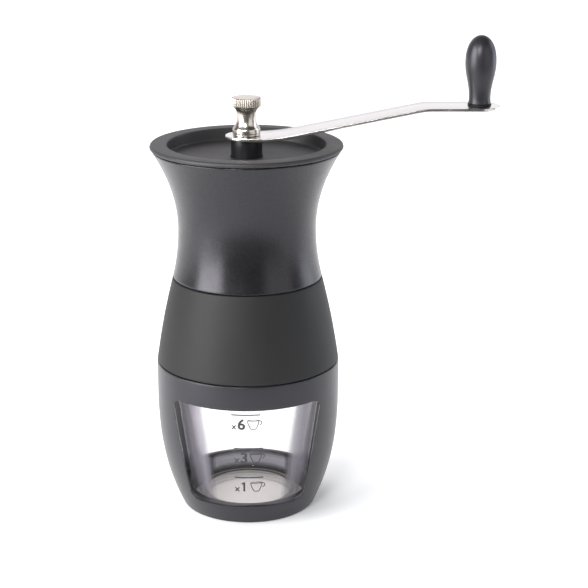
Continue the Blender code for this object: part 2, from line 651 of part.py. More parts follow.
def make_shaft_clip():
    low = CARRIER_TOP + 1.0 * MM + 0.15 * MM
    high = low + 0.6 * MM
    bore = SHAFT_R - 0.7 * MM + 0.2 * MM
    rim = SHAFT_R + 2.2 * MM
    clip = turned("shaft_clip", [(rim, high), (rim, low), (bore, low), (bore, high)], STEEL)
    mouth = box_mesh("clip_mouth", (0, -1.6 * MM, low - MM), (2 * rim, 1.6 * MM, high + MM))
    cut(clip, add_cutter("clip_mouth", mouth))


def make_shaft_collar():
    low = COLLAR_TOP - COLLAR_LENGTH
    bore = SHAFT_R + FIT
    outline = [(COLLAR_R, COLLAR_TOP, 0.4 * MM), (COLLAR_R, low, 0.4 * MM), (bore, low), (bore, COLLAR_TOP)]
    turned("shaft_collar", outline, BLACK, 20)


def make_washer(name, low, high, bore, rim, look, place=(0, 0, 0)):
    outline = [(rim, high), (rim, low), (bore, low), (bore, high)]
    turned(name, outline, look, SMALL_ROUND, place=place)


def make_spring_stack():
    seat = INNER_BURR_TOP - 8 * MM + FIT
    bore = SHAFT_R + FIT
    make_washer("spring_washer", seat, seat + WASHER_THICK, bore, SPRING_R + 1.2 * MM, STEEL)
    thrust_top = HUNG_BUSH_BOTTOM - 1.1 * MM - FIT
    thrust_low = thrust_top - WASHER_THICK
    make_washer("thrust_washer", thrust_low, thrust_top, bore, SPRING_R + 1.4 * MM, STEEL)
    low = seat + WASHER_THICK + FIT + WIRE_R
    high = thrust_low - FIT - WIRE_R
    curve = bpy.data.curves.new("spring", "CURVE")
    curve.dimensions = "3D"
    curve.bevel_depth = WIRE_R
    curve.bevel_resolution = 2
    curve.use_fill_caps = True
    spline = curve.splines.new("POLY")
    steps = SPRING_TURNS * 12
    spline.points.add(steps)
    for index, point in enumerate(spline.points):
        turn = math.tau * SPRING_TURNS * index / steps
        rise = low + (high - low) * index / steps
        point.co = (SPRING_R * math.cos(turn), SPRING_R * math.sin(turn), rise, 1)
    curve.materials.append(new_material("spring", STEEL))
    parts.objects.link(bpy.data.objects.new("spring", curve))


def make_lid():
    wall_r = LID_RIM_INNER_R + LID_WALL
    hole = COLLAR_R + FIT + 0.1 * MM
    outline = [(LID_R, LID_TOP, 1.2 * MM), (LID_R, LID_TOP - 1.5 * MM), (LID_R - 0.9 * MM, LID_BOTTOM_RIM)]
    outline += [(wall_r, LID_BOTTOM_RIM), (wall_r, LID_FLOOR_BOTTOM, 0.7 * MM), (hole, LID_FLOOR_BOTTOM)]
    outline += [(hole, LID_FLOOR_TOP), (LID_RIM_INNER_R, LID_FLOOR_TOP, 0.8 * MM)]
    outline += [(LID_RIM_INNER_R, LID_TOP, 0.6 * MM)]
    turned("lid", outline, BLACK, ROUND)


def eased_step(x, middle, spread):
    """Slope share across a bend: 0 before it, 1 after it."""
    return min(max((x - middle + spread) / (2 * spread), 0.0), 1.0)


def arm_rise(x):
    """Height gained along the arm, from the hub's flat to the knob's flat."""
    share = 0.0
    cells = 200
    for index in range(cells):
        here = x * (index + 0.5) / cells
        slope = eased_step(here, FIRST_BEND, FIRST_BEND_SPREAD)
        slope -= eased_step(here, SECOND_BEND, SECOND_BEND_SPREAD)
        share += slope * x / cells
    return ARM_RISE * share / (SECOND_BEND - FIRST_BEND) if x > 0 else 0.0


def stadium(half_width, reach, steps):
    """Outline of a strip with full round ends, from the hub to the knob."""
    points = []
    for index in range(steps + 1):
        turn = math.pi / 2 + math.pi * index / steps
        points.append((half_width * math.cos(turn), half_width * math.sin(turn)))
    for index in range(steps + 1):
        turn = -math.pi / 2 + math.pi * index / steps
        points.append((reach + half_width * math.cos(turn), half_width * math.sin(turn)))
    return points


def make_crank_arm():
    model = bmesh.new()
    outline = stadium(ARM_WIDTH / 2, ARM_REACH, 18)
    model.faces.new([model.verts.new((x, y, 0)) for x, y in outline])
    bends = [(FIRST_BEND, FIRST_BEND_SPREAD, 6), (SECOND_BEND, SECOND_BEND_SPREAD, 5)]
    for middle, spread, count in bends:
        for index in range(count + 1):
            x = middle - spread + 2 * spread * index / count
            everything = model.verts[:] + model.edges[:] + model.faces[:]
            bmesh.ops.bisect_plane(model, geom=everything, dist=0.000001, plane_co=(x, 0, 0), plane_no=(1, 0, 0))
    for vert in model.verts:
        vert.co.z = ARM_TOP + arm_rise(vert.co.x)
    bmesh.ops.recalc_face_normals(model, faces=model.faces)
    mesh = bpy.data.meshes.new("crank_arm")
    model.to_mesh(mesh)
    model.free()
    arm = add_piece("crank_arm", mesh, STEEL)
    thickness = arm.modifiers.new("plate", "SOLIDIFY")
    thickness.thickness = ARM_THICK
    thickness.offset = 1 if mesh.polygons[0].normal.z < 0 else -1
    half = SQUARE / 2 + FIT
    square = box_mesh("square_hole", (-half, -half, ARM_BOTTOM - MM), (half, half, ARM_TOP + MM))
    cut(arm, add_cutter("square_hole", square))
    pin_hole = cylinder_mesh("pin_hole", PIN_R + FIT, ARM_BOTTOM, ARM_HIGH + MM, 20)
    cut(arm, add_cutter("pin_hole", pin_hole, (ARM_REACH, 0, 0)))


def make_crank_nut():
    low = CRANK_NUT_BOTTOM
    high = CRANK_NUT_TOP
    base_top = low + 1.9 * MM
    head_low = high - 3.7 * MM
    waist_z = (base_top + head_low) / 2
    outline = [(0, high), (CRANK_NUT_R, high, 0.5 * MM), (CRANK_NUT_R, head_low, 0.4 * MM)]
    outline += [(5.6 * MM, head_low - 0.5 * MM), (4.6 * MM, head_low - 2.4 * MM), (4.3 * MM, waist_z)]
    outline += [(4.7 * MM, base_top + 2.6 * MM), (5.8 * MM, base_top + 0.6 * MM), (CRANK_NUT_R, base_top)]
    outline += [(CRANK_NUT_R, low, 0.3 * MM), (THREAD_R + FIT, low), (THREAD_R + FIT, SHAFT_TOP + 0.8 * MM)]
    outline += [(0, SHAFT_TOP + 0.8 * MM)]
    turned("crank_nut", outline, NICKEL, 24, closed=False)
    washer_low = ARM_TOP + FIT
    make_washer("nut_washer", washer_low, NUT_WASHER_TOP, SHAFT_R + FIT, CRANK_NUT_R - 0.4 * MM, STEEL)


def knob_radius(share):
    """Radius of the egg shaped knob; share runs from 0 at its bottom to 1 at its top."""
    waist = 0.09
    widest = 0.6
    if share < waist:
        return KNOB_WAIST_R + 0.3 * MM * (1 - share / waist) ** 2
    if share < widest:
        swell = 0.5 - 0.5 * math.cos(math.pi * (share - waist) / (widest - waist))
        return KNOB_WAIST_R + (KNOB_R - KNOB_WAIST_R) * swell
    return KNOB_R * (1 - ((share - widest) / (1 - widest)) ** 2.35) ** 0.5


def make_knob():
    shares = [0.99, 0.97, 0.93, 0.87, 0.8, 0.7, 0.6, 0.5, 0.4, 0.3, 0.2, 0.1, 0.04]
    outline = [(0, KNOB_TOP)]
    outline += [(knob_radius(share), KNOB_BOTTOM + KNOB_HEIGHT * share) for share in shares]
    outline += [(knob_radius(0), KNOB_BOTTOM, 0.4 * MM)]
    barb_low = KNOB_BOTTOM + 13 * MM
    barb_high = KNOB_BOTTOM + 16 * MM
    bore = PIN_R + FIT
    outline += [(bore, KNOB_BOTTOM), (bore, barb_low - 0.4 * MM), (bore + 0.6 * MM, barb_low - 0.4 * MM)]
    outline += [(bore + 0.6 * MM, barb_high + 0.6 * MM), (0, barb_high + 0.6 * MM)]
    turned("knob", outline, BLACK, 24, closed=False, place=(ARM_REACH, 0, 0))
    head_high = ARM_HIGH - ARM_THICK - FIT
    head_low = head_high - PIN_HEAD
    pin = [(0, barb_high), (PIN_R, barb_high), (PIN_R + 0.4 * MM, barb_low + 0.4 * MM), (PIN_R, barb_low + 0.3 * MM)]
    pin += [(PIN_R, head_high), (PIN_HEAD_R, head_high), (0.72 * PIN_HEAD_R, head_low + 0.45 * MM)]
    pin += [(0.36 * PIN_HEAD_R, head_low + 0.08 * MM), (0, head_low)]
    turned("knob_pin", pin, STEEL, SMALL_ROUND, closed=False, place=(ARM_REACH, 0, 0))
    low = ARM_HIGH + FIT * 0.8
    rim = KNOB_WAIST_R + 0.5 * MM
    make_washer("knob_washer", low, KNOB_BOTTOM - FIT * 0.8, PIN_R + FIT, rim, SOFT_BLACK, (ARM_REACH, 0, 0))


clear_scene()
parts = new_collection("hand_crank_coffee_grinder")
tools = new_collection("cutters")
make_base_frame()
make_jar()
make_upper_shell()
make_grip_sleeve()
make_seal_ring()
make_hopper()
make_bushes()
make_burr_carrier()
make_screws()
make_burr_clamp_ring()
make_outer_burr()
make_inner_burr()
make_burr_driver()
make_adjuster()
make_drive_shaft()
make_shaft_clip()
make_shaft_collar()
make_spring_stack()
make_lid()
make_crank_arm()
make_crank_nut()
make_knob()
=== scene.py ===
import math

import bmesh
import bpy
from mathutils import Matrix, Vector


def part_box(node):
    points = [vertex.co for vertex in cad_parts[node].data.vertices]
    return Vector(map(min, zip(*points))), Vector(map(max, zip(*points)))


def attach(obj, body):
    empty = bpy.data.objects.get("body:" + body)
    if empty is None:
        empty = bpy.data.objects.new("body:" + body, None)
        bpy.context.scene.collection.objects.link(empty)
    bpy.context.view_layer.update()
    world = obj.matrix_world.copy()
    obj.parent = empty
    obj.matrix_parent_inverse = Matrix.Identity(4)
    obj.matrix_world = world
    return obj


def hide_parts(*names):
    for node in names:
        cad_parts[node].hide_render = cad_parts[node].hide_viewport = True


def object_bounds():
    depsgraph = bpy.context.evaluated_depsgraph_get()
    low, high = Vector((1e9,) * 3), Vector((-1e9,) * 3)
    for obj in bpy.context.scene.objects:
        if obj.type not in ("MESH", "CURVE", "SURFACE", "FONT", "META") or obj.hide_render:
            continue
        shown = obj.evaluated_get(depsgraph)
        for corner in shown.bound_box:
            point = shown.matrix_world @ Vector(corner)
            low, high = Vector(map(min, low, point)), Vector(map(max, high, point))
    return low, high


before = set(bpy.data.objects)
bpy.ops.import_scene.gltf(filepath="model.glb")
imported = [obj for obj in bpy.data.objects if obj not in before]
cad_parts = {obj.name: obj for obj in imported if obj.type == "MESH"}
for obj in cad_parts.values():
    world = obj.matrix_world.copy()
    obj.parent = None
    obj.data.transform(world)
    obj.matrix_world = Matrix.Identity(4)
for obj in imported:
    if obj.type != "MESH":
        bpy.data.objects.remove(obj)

cad_box = [list(corner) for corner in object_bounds()]
MM = 0.001

# ---------------------------------------------------------------------------
# Studio: a camera a little above the grinder, a wide pale floor that runs out
# of view, and large soft lights from the left, the right and above.
# ---------------------------------------------------------------------------
floor_z = cad_box[0][2] - 0.2 * MM
camera_data = bpy.data.cameras.new("camera")
camera_data.lens = 99.74
camera_data.sensor_width = 36.0
camera = bpy.data.objects.new("camera", camera_data)
camera.location = (0.0217, -0.741, 0.3317)
camera.rotation_euler = (math.radians(72.92), math.radians(-0.09), 0)
bpy.context.scene.collection.objects.link(camera)
bpy.context.scene.camera = camera
bpy.context.scene.view_settings.view_transform = "Standard"


def add_softbox(name, place, aim, width, height, watts, colour=(1, 1, 1)):
    """A rectangular area light that faces a point."""
    light = bpy.data.lights.new(name, "AREA")
    light.shape = "RECTANGLE"
    light.size = width
    light.size_y = height
    light.energy = watts
    light.color = colour
    lamp = bpy.data.objects.new(name, light)
    lamp.location = place
    lamp.rotation_euler = (Vector(aim) - Vector(place)).to_track_quat("-Z", "Y").to_euler()
    bpy.context.scene.collection.objects.link(lamp)


body_middle = (0, 0, 0.12)
add_softbox("left_softbox", (-0.95, -0.58, 0.42), body_middle, 0.85, 0.95, 22)
add_softbox("key_softbox", (-0.24, -0.93, 0.72), body_middle, 0.32, 0.42, 7)
add_softbox("right_softbox", (1.2, 0.36, 0.45), body_middle, 0.6, 1.0, 5, (0.84, 0.9, 1.0))
add_softbox("front_fill", (0.85, -0.7, 0.4), body_middle, 0.95, 0.9, 3)
overhead = bpy.data.lights.new("overhead", "SUN")
overhead.energy = 1.9
overhead.angle = math.radians(60)
overhead_lamp = bpy.data.objects.new("overhead", overhead)
overhead_lamp.rotation_euler = (math.radians(-12), math.radians(-22), 0)
overhead_lamp.visible_glossy = False
bpy.context.scene.collection.objects.link(overhead_lamp)


class Socket:
    """An output socket; arithmetic on it adds the Math nodes that work it out."""

    def __init__(self, tree, output=None):
        self.tree = tree
        self.output = output

    def feed(self, socket, value):
        if isinstance(value, Socket):
            self.tree.links.new(value.output, socket)
        else:
            socket.default_value = value

    def node(self, kind, settings=None, inputs=None, out=0):
        """Any other node: its type, its settings, then the values or links of its sockets."""
        made = self.tree.nodes.new("ShaderNode" + kind)
        for name, value in (settings or {}).items():
            setattr(made, name, value)
        for key, value in (inputs or {}).items():
            self.feed(made.inputs[key], value)
        return Socket(self.tree, made.outputs[out])

    def math(self, operation, first, second=0.0):
        return self.node("Math", {"operation": operation}, {0: first, 1: second})

    def __add__(self, other):
        return self.math("ADD", self, other)

    def __sub__(self, other):
        return self.math("SUBTRACT", self, other)

    def __rsub__(self, other):
        return self.math("SUBTRACT", other, self)

    def __mul__(self, other):
        return self.math("MULTIPLY", self, other)

    def __pow__(self, other):
        return self.math("POWER", self, other)

    __radd__ = __add__
    __rmul__ = __mul__

    def axis(self, index):
        """The X, Y or Z value of this vector socket, as index 0, 1 or 2."""
        return self.node("SeparateXYZ", None, {0: self}, out=index)

    def noise(self, scale, detail=3.0, roughness=0.5):
        """Noise at a scale in cells per metre, measured on this vector socket."""
        inputs = {"Vector": self, "Scale": scale, "Detail": detail, "Roughness": roughness}
        return self.node("TexNoise", None, inputs)

    def stretched(self, factors):
        return self.node("VectorMath", {"operation": "MULTIPLY"}, {0: self, 1: factors})

    def span(self, low, high):
        """A mask that runs from 0 to 1 as this value runs from low to high."""
        return self.node("MapRange", None, {"Value": self, "From Min": low, "From Max": high})

    def between(self, low, high):
        """A colour mixed by this mask from one colour to another."""
        low, high = (end if isinstance(end, Socket) else (*end, 1) for end in (low, high))
        inputs = {"Factor": self, 6: low, 7: high}
        return self.node("Mix", {"data_type": "RGBA"}, inputs, out=2)


# The room: the light it sends is dark in front of the grinder and bright and
# faintly lilac behind it; looked at directly, it is pale all round.
world = bpy.data.worlds.new("studio")
bpy.context.scene.world = world
world.use_nodes = True
room = Socket(world.node_tree).node("TexCoord")
rearward = {"Value": room.axis(1), "From Min": 0.25, "From Max": 1.0}
behind = room.node("MapRange", {"interpolation_type": "SMOOTHSTEP"}, rearward)
looked_at = room.node("LightPath")
backdrop = behind.math("MAXIMUM", behind, looked_at)
room_colour = backdrop.between((0.03, 0.03, 0.032), (1.1, 1.08, 1.13))
room.feed(world.node_tree.nodes["Background"].inputs["Color"], room_colour)


def new_finish(name, **constants):
    """A material with constants on its shader; returns it, its shader and its piece coordinates."""
    finish = bpy.data.materials.new(name)
    finish.use_nodes = True
    shader = finish.node_tree.nodes["Principled BSDF"]
    for socket, value in constants.items():
        shader.inputs[socket.replace("_", " ")].default_value = value
    surface = Socket(finish.node_tree).node("TexCoord", None, None, out=3)
    return finish, shader, surface


# The floor is a white board, far wider than the view, with a painted glow: it glows a little near the
# grinder and most at the back, which lifts the shadows on it. For mirrored and bounced light it ends in
# front of the grinder, where a black board would lie.
floor_mesh = bpy.data.meshes.new("floor")
floor_shape = bmesh.new()
bmesh.ops.create_grid(floor_shape, x_segments=8, y_segments=8, size=6.0)
floor_shape.to_mesh(floor_mesh)
floor_shape.free()
floor = bpy.data.objects.new("floor", floor_mesh)
floor.location.z = floor_z
bpy.context.scene.collection.objects.link(floor)
floor_paint, floor_shader, floor_surface = new_finish("floor_board", Roughness=0.7, Emission_Strength=0.5)
floor_grain = floor_surface.noise(40.0)
floor_depth = floor_surface.axis(1)
floor_looked_at = floor_surface.node("LightPath")
floor_front = floor_depth.span(-0.26, -0.46) * (1 - floor_looked_at)
# Painted glow: the floor's emission is weak near the grinder and strong behind it, to lift its shadows.
floor_painted_glow = floor_depth.span(-0.02, 0.16).between((0.16, 0.16, 0.16), (0.9, 0.9, 0.9))
floor_surface.feed(floor_shader.inputs["Emission Color"], floor_front.between(floor_painted_glow, (0.0, 0.0, 0.0)))
floor_white = floor_grain.between((0.93, 0.93, 0.94), (0.95, 0.95, 0.955))
floor_surface.feed(floor_shader.inputs["Base Color"], floor_front.between(floor_white, (0.05, 0.05, 0.052)))
floor_mesh.materials.append(floor_paint)

# ---------------------------------------------------------------------------
# Base frame: the lower casing, one black moulding whose satin skin is spark
# eroded in the tool. Two windows, front and rear, are cut through its wall.
# ---------------------------------------------------------------------------


def new_piece(name, mesh, finish, body, node):
    """Link a mesh as a piece that stands for a node and moves with a body."""
    piece = bpy.data.objects.new(name, mesh)
    bpy.context.scene.collection.objects.link(piece)
    mesh.materials.clear()
    mesh.materials.append(finish)
    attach(piece, body)
    if node:
        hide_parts(node)


def bump(surface, shader, height, distance, strength):
    """Relief on a finish: the height mask, its depth in metres and how strongly it shows."""
    inputs = {"Height": height, "Distance": distance, "Strength": strength}
    surface.feed(shader.inputs["Normal"], surface.node("Bump", None, inputs))


def moulded_black(name, dark, light, roughness, grain_depth):
    """Black moulded plastic with an eroded grain, faint flow shades and handling marks."""
    finish, shader, surface = new_finish(name, Specular_Tint=(0.94, 0.92, 1.0, 1))
    flow = surface.stretched((1.0, 1.0, 0.35)).noise(45.0, 4.0)
    grain = surface.noise(5200.0, 2.0, 0.6)
    rubs = surface.noise(160.0, 5.0, 0.65)
    surface.feed(shader.inputs["Base Color"], flow.between(dark, light))
    surface.feed(shader.inputs["Roughness"], roughness + (rubs - 0.5) * 0.10 + (grain - 0.5) * 0.08)
    bump(surface, shader, grain + rubs * 0.25, grain_depth, 0.5)
    return finish


def corner_arc(before, corner, after, radius, steps):
    """Points of an arc that rounds one corner of an outline."""
    to_before = before - corner
    to_after = after - corner
    half = to_before.angle(to_after) / 2
    room = 0.48 * min(to_before.length, to_after.length)
    reach = min(radius / math.tan(half), room)
    radius = reach * math.tan(half)
    towards = (to_before.normalized() + to_after.normalized()).normalized()
    centre = corner + towards * radius / math.sin(half)
    start = (corner + to_before.normalized() * reach - centre).normalized()
    end = (corner + to_after.normalized() * reach - centre).normalized()
    return [centre + start.slerp(end, step / steps).normalized() * radius for step in range(steps + 1)]


def rounded(outline, closed=True, steps=5):
    """Outline points; a point with a third value gets an arc of that radius."""
    corners = [Vector((point[0], 0, point[1])) for point in outline]
    result = []
    for index, point in enumerate(outline):
        if len(point) == 3 and (closed or 0 < index < len(outline) - 1):
            after = corners[(index + 1) % len(corners)]
            result += corner_arc(corners[index - 1], corners[index], after, point[2], steps)
        else:
            result.append(corners[index])
    return [(point.x, point.z) for point in result]


def turned_mesh(name, outline, facets=160, closed=True, centre=(0, 0), sharp=35, wave=None):
    """A turned solid; the outline runs down its outer side and up its bore.

    An open outline starts and ends on the axis. A wave moves points in or out
    by angle and height, for knurls, flutes and teeth."""
    points = rounded(outline, closed)
    mesh = bpy.data.meshes.new(name)
    model = bmesh.new()
    rings = []
    for radius, height in points:
        if radius < 1e-7:
            rings.append([model.verts.new((centre[0], centre[1], height))])
            continue
        ring = []
        for index in range(facets):
            turn = math.tau * index / facets
            reach = radius + (wave(turn, radius, height) if wave else 0.0)
            place = (centre[0] + reach * math.cos(turn), centre[1] + reach * math.sin(turn), height)
            ring.append(model.verts.new(place))
        rings.append(ring)
    pairs = list(zip(rings, rings[1:]))
    if closed:
        pairs.append((rings[-1], rings[0]))
    for upper, lower in pairs:
        for index in range(facets):
            after = (index + 1) % facets
            if len(upper) == 1:
                model.faces.new((upper[0], lower[index], lower[after]))
            elif len(lower) == 1:
                model.faces.new((upper[index], lower[0], upper[after]))
            else:
                model.faces.new((upper[index], lower[index], lower[after], upper[after]))
    model.normal_update()
    bmesh.ops.recalc_face_normals(model, faces=model.faces)
    model.to_mesh(mesh)
    model.free()
    mesh.shade_smooth()
    mesh.set_sharp_from_angle(angle=math.radians(sharp))
    return mesh


def cut_mesh(name, mesh, tools, bevel=0.0, sharp=35):
    """A mesh with other meshes cut from it and the new edges rounded, as a new mesh."""
    body = bpy.data.objects.new(name, mesh)
    bpy.context.scene.collection.objects.link(body)
    blanks = []
    for tool in tools:
        blank = bpy.data.objects.new(name + "_cut", tool)
        bpy.context.scene.collection.objects.link(blank)
        blanks.append(blank)
        modifier = body.modifiers.new("cut", "BOOLEAN")
        modifier.operation = "DIFFERENCE"
        modifier.object = blank
    if bevel:
        edge = body.modifiers.new("edge", "BEVEL")
        edge.width = bevel
        edge.segments = 3
        edge.limit_method = "ANGLE"
        edge.angle_limit = math.radians(50)
        edge.use_clamp_overlap = True
    bpy.context.view_layer.update()
    result = bpy.data.meshes.new_from_object(body.evaluated_get(bpy.context.evaluated_depsgraph_get()))
    for blank in [*blanks, body]:
        bpy.data.objects.remove(blank)
    result.shade_smooth()
    result.set_sharp_from_angle(angle=math.radians(sharp))
    return result


def slab_mesh(name, outline, low, high):
    """A flat outline in X and Y given thickness from low to high."""
    mesh = bpy.data.meshes.new(name)
    model = bmesh.new()
    bottom = [model.verts.new((x, y, low)) for x, y in outline]
    top = [model.verts.new((x, y, high)) for x, y in outline]
    model.faces.new(list(reversed(bottom)))
    model.faces.new(top)
    for index in range(len(outline)):
        after = (index + 1) % len(outline)
        model.faces.new((bottom[index], bottom[after], top[after], top[index]))
    bmesh.ops.recalc_face_normals(model, faces=model.faces)
    model.to_mesh(mesh)
    model.free()
    return mesh


frame_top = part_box("base_frame")[1].z
foot_r = 32.0 * MM
belly_r = 43.55 * MM
belly_z = 62.0 * MM
frame_wall = 2.4 * MM
ring_top = 8.6 * MM
jar_foot_r = 26.6 * MM
jar_taper = 0.139
jar_gap = 0.5 * MM


def frame_radius(z):
    return belly_r - (belly_r - foot_r) * abs(1 - z / belly_z) ** 2.65


def spread(low, high, count):
    """Evenly spaced values from low to high."""
    return [low + (high - low) * index / (count - 1) for index in range(count)]


ledge_bottom, ledge_top = 62.0 * MM, 64.0 * MM
ledge_r = jar_foot_r + jar_taper * ledge_top + jar_gap
frame_outline = [(frame_radius(frame_top), frame_top, 0.6 * MM)]
frame_outline += [(frame_radius(z), z) for z in reversed(spread(3.0 * MM, frame_top - 1.5 * MM, 34))]
frame_outline += [(frame_radius(0), 0, 1.0 * MM), (jar_foot_r + jar_gap, 0, 0.4 * MM)]
frame_outline += [(jar_foot_r + jar_gap + jar_taper * ring_top, ring_top, 0.5 * MM)]
frame_outline += [(frame_radius(ring_top) - frame_wall, ring_top, 1.0 * MM)]
frame_outline += [(frame_radius(z) - frame_wall, z) for z in spread(12 * MM, ledge_bottom, 16)]
frame_outline += [(ledge_r, ledge_bottom), (ledge_r, ledge_top)]
frame_outline += [(frame_radius(ledge_top) - frame_wall, ledge_top)]
frame_outline += [(frame_radius(frame_top) - frame_wall, frame_top, 0.3 * MM)]
sill_z, sill_half, sill_corner = 10.0 * MM, 26.3 * MM, 5.0 * MM
lintel_z, lintel_half, lintel_corner = ledge_bottom - 0.9 * MM, 34.9 * MM, 3.5 * MM
window_corners = [(-sill_half, sill_z, sill_corner), (sill_half, sill_z, sill_corner)]
window_corners += [(lintel_half, lintel_z, lintel_corner), (-lintel_half, lintel_z, lintel_corner)]
window_tool = slab_mesh("window", rounded(window_corners, steps=10), -60 * MM, 60 * MM)
window_tool.transform(Matrix.Rotation(math.pi / 2, 4, "X"))
casing_black = moulded_black("casing_black", (0.010, 0.0095, 0.0115), (0.015, 0.0145, 0.0175), 0.34, 0.00002)
frame_mesh = cut_mesh("base_frame", turned_mesh("frame_blank", frame_outline, 144), [window_tool], 0.5 * MM)
new_piece("base_casing", frame_mesh, casing_black, "receptacle", "base_frame")

# ---------------------------------------------------------------------------
# Jar: one clear moulding, a slightly smoky plastic, with a flange that rests
# in the base frame and a threaded neck for the upper casing.
# ---------------------------------------------------------------------------
jar_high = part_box("jar")[1]
jar_top = jar_high.z
flange_r = jar_high.x
flange_top = jar_top - 12.7 * MM
flange_bottom = flange_top - 2.5 * MM
jar_floor = 4.5 * MM
jar_wall = 2.6 * MM
neck_r = 36.5 * MM
neck_bore = neck_r - 2.9 * MM
thread_depth = 0.5 * MM
thread_root = neck_r - thread_depth


def jar_radius(z):
    return jar_foot_r + jar_taper * z


inner_foot = jar_radius(jar_floor) - jar_wall
groove = inner_foot - 3.9 * MM
groove_end = groove + 1.4 * MM
groove_flank = 0.3 * MM
groove_floor = jar_floor - 0.8 * MM
jar_outline = [(0, jar_floor), (0.5 * groove, jar_floor), (groove, jar_floor)]
jar_outline += [(groove + groove_flank, groove_floor), (groove_end - groove_flank, groove_floor)]
jar_outline += [(groove_end, jar_floor)]
jar_outline += [(inner_foot, jar_floor, 2.0 * MM), (jar_radius(flange_top) - jar_wall, flange_top)]
jar_outline += [(neck_bore, flange_top + 2 * MM), (neck_bore, jar_top, 0.8 * MM)]
jar_outline += [(thread_root, jar_top, 0.6 * MM)]
rib_half = 0.7 * MM
for rib in (8.8, 4.8):
    rib_z = flange_top + rib * MM
    jar_outline += [(thread_root, rib_z + rib_half), (neck_r, rib_z), (thread_root, rib_z - rib_half)]
jar_outline += [(thread_root, flange_top, 0.4 * MM), (flange_r, flange_top, 0.6 * MM)]
jar_outline += [(flange_r, flange_bottom, 0.6 * MM), (jar_radius(flange_bottom), flange_bottom, 0.5 * MM)]
jar_outline += [(jar_foot_r, 0, 1.0 * MM), (0.5 * jar_foot_r, 0), (0, 0)]
# Painted light: the jar's emission takes its tint, so the whole moulding glows a little.
clear_plastic, clear_shader, clear_surface = new_finish("clear_plastic", Emission_Strength=0.5)
# A clear wall seen at a slant looks thick, so it darkens towards its sides, but less at its very edge; there
# the tint is a painted lilac sheen. The tint also paints light and shade seen in the plastic: the wall's
# rear foot reads as dark, with a painted pale band in its middle; the jar's floor has a painted glow; and
# the floor's groove and the ring round its edge read as dark, a painted shade.
facing = clear_surface.node("LayerWeight", None, {"Blend": 0.5}, out=1)
jar_x, jar_y, jar_z = (clear_surface.axis(index) for index in range(3))
haze = clear_surface.noise(120.0, 4.0)
foot_dim = jar_z.span(15 * MM, 11 * MM)
# Painted sheen: where the wall is seen at a slant its tint turns a pale lilac that glows, dimmed a little
# near the foot.
edge_band = (facing.span(0.37, 0.45) - facing.span(0.62, 0.72) * 0.4) * (1 - foot_dim * 0.25)
# Painted light and shade: the wall's rear foot gets a pale glowing band in its middle and darker sides.
rear_wall = jar_z.span(13.6 * MM, 10.6 * MM) * jar_y.span(8 * MM, 14 * MM)
rear_side = jar_x.math("ABSOLUTE", jar_x).span(17 * MM, 19 * MM)
jar_base = jar_z.span(jar_floor + 0.3 * MM, jar_floor)
floor_reach = (jar_x * jar_x + jar_y * jar_y) ** 0.5
inside_groove = floor_reach.span(groove - 0.6 * MM, groove)
# Painted shade: the floor's groove and a ring round the floor's edge are coloured dark and made less clear.
groove_painted_shade = inside_groove - floor_reach.span(groove_end, groove_end + 0.6 * MM)
foot_rim_painted_shade = floor_reach.span(inner_foot - 2.2 * MM, inner_foot - 1.0 * MM) * jar_z.span(7.5 * MM, 5.0 * MM)
jar_tint_and_painted_light = edge_band.between((0.05, 0.05, 0.05), (0.28, 0.26, 0.30))
jar_tint_and_painted_light = rear_wall.between(jar_tint_and_painted_light, rear_side.between((0.40, 0.39, 0.43), (0.10, 0.10, 0.11)))
# Painted light: the jar's floor is a pale beige that glows, standing for light from the table shining up
# through it.
jar_floor_painted_glow = haze.between((0.70, 0.66, 0.64), (0.60, 0.57, 0.55))
jar_tint_and_painted_light = jar_base.between(jar_tint_and_painted_light, groove_painted_shade.between(jar_floor_painted_glow, (0.10, 0.09, 0.09)))
jar_tint_and_painted_light = foot_rim_painted_shade.between(jar_tint_and_painted_light, (0.06, 0.055, 0.055))
cover = edge_band * 0.52 + rear_wall * 0.45
cover = cover + (0.32 + groove_painted_shade * 0.12 - cover) * jar_base
cover = cover + (0.34 - cover) * foot_rim_painted_shade
clear_surface.feed(clear_shader.inputs["Alpha"], 0.015 + cover + haze * 0.02)
clear_surface.feed(clear_shader.inputs["Base Color"], jar_tint_and_painted_light)
# Painted light: the tint, with its painted light and shade, also glows.
clear_surface.feed(clear_shader.inputs["Emission Color"], jar_tint_and_painted_light)
clear_surface.feed(clear_shader.inputs["Roughness"], 0.03 + haze * 0.05)
jar_mesh = turned_mesh("clear_jar", jar_outline, 160, False)
new_piece("clear_jar", jar_mesh, clear_plastic, "receptacle", "jar")

# Printed scale: a line, a number and a cup sign for one, three and six cups,
# laid on the jar's outer wall as a thin dark ink.
ink_lift = 0.03 * MM
ink_thick = 0.05 * MM
ink_black, ink_shader, ink_surface = new_finish("scale_ink", Roughness=0.4)
ink_wear = ink_surface.noise(900.0, 3.0)
ink_colour = ink_wear.between((0.01, 0.01, 0.012), (0.045, 0.043, 0.045))
ink_surface.feed(ink_shader.inputs["Base Color"], ink_colour)


def stroke(model, points, width, closed=False):
    """A flat ribbon of even width along points in X and Z."""
    count = len(points)
    sides = []
    for index, point in enumerate(points):
        before = points[index - 1] if index or closed else point
        after = points[(index + 1) % count] if index < count - 1 or closed else point
        along = Vector((after[0] - before[0], after[1] - before[1])).normalized()
        across = Vector((-along.y, along.x)) * width / 2
        sides.append((model.verts.new((point[0] + across.x, 0, point[1] + across.y)),
                      model.verts.new((point[0] - across.x, 0, point[1] - across.y))))
    for index in range(count if closed else count - 1):
        here, there = sides[index], sides[(index + 1) % count]
        model.faces.new((here[0], there[0], there[1], here[1]))


